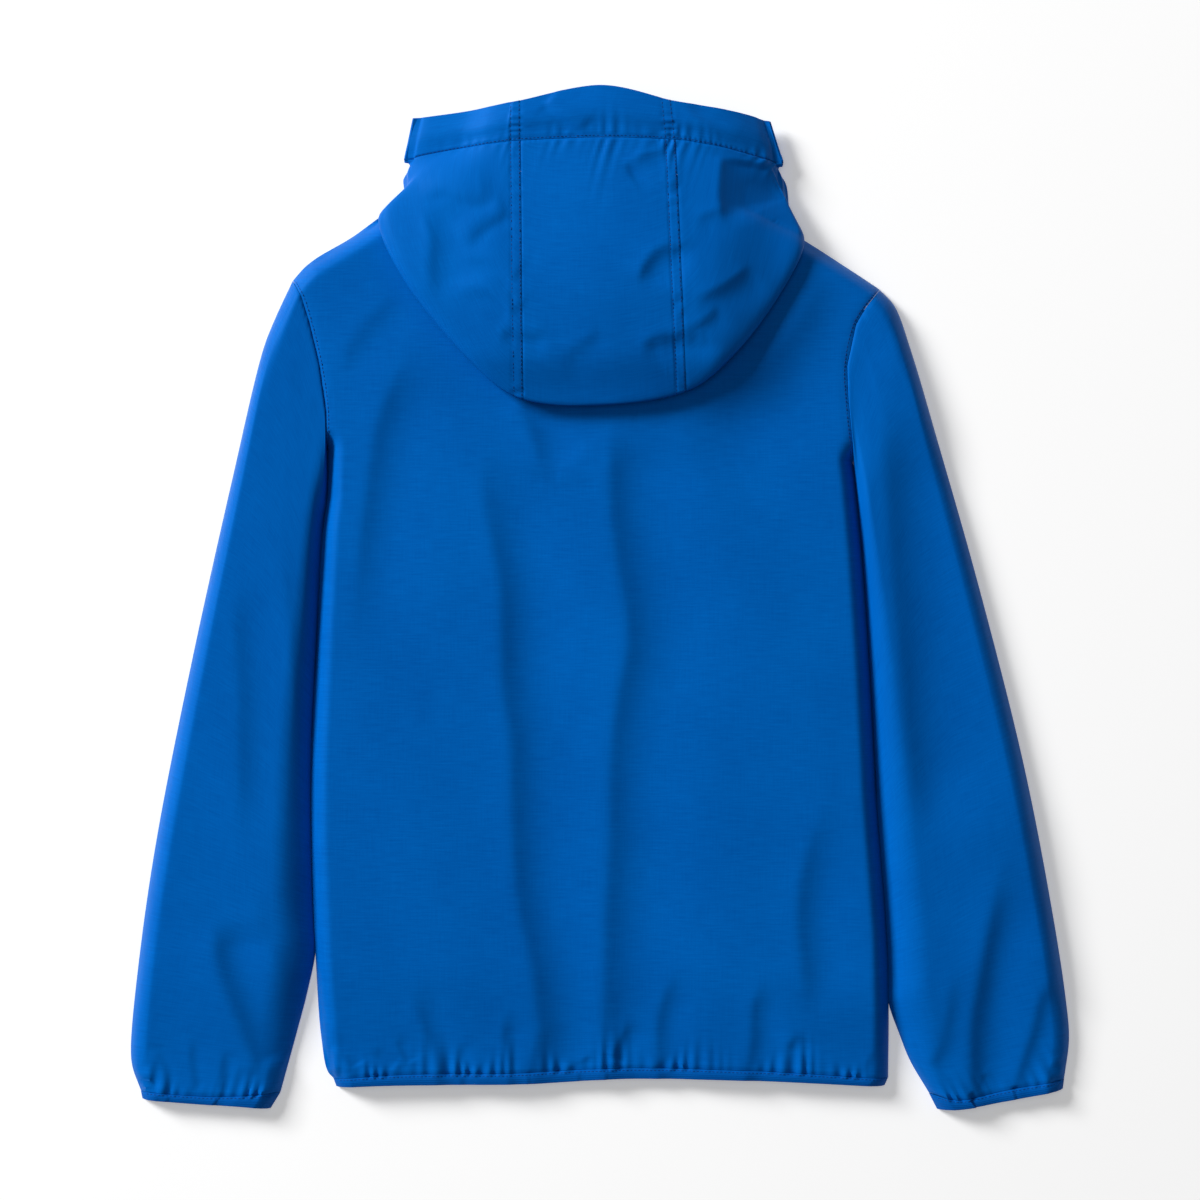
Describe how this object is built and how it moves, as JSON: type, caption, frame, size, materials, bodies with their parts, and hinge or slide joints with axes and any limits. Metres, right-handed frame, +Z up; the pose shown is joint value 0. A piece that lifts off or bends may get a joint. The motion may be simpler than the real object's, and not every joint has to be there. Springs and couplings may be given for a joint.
{
  "type": "anorak pullover",
  "caption": "Hooded nylon anorak pullover laid out flat on its front, back uppermost, with elastic-bound hem and cuffs and a gathered hood brim.",
  "frame": {"origin": "on the surface the garment lies on, under the middle of its bounding box", "axes": "+Y from hem to hood, +Z up from the surface, -X towards the wearer's left"},
  "size_m": [0.7166, 0.7778, 0.045],
  "materials": {
    "shell": "plain-woven nylon taffeta with a soft sheen",
    "binding": "matte elastic tape"
  },
  "bodies": {
    "root": {"front": "shell", "back": "shell", "sleeve_left": "shell", "sleeve_right": "shell", "hood_side_left": "shell", "hood_centre": "shell", "hood_side_right": "shell", "hood_brim": "shell", "hem_binding": "binding", "cuff_binding_left": "binding", "cuff_binding_right": "binding"}
  },
  "joints": []
}
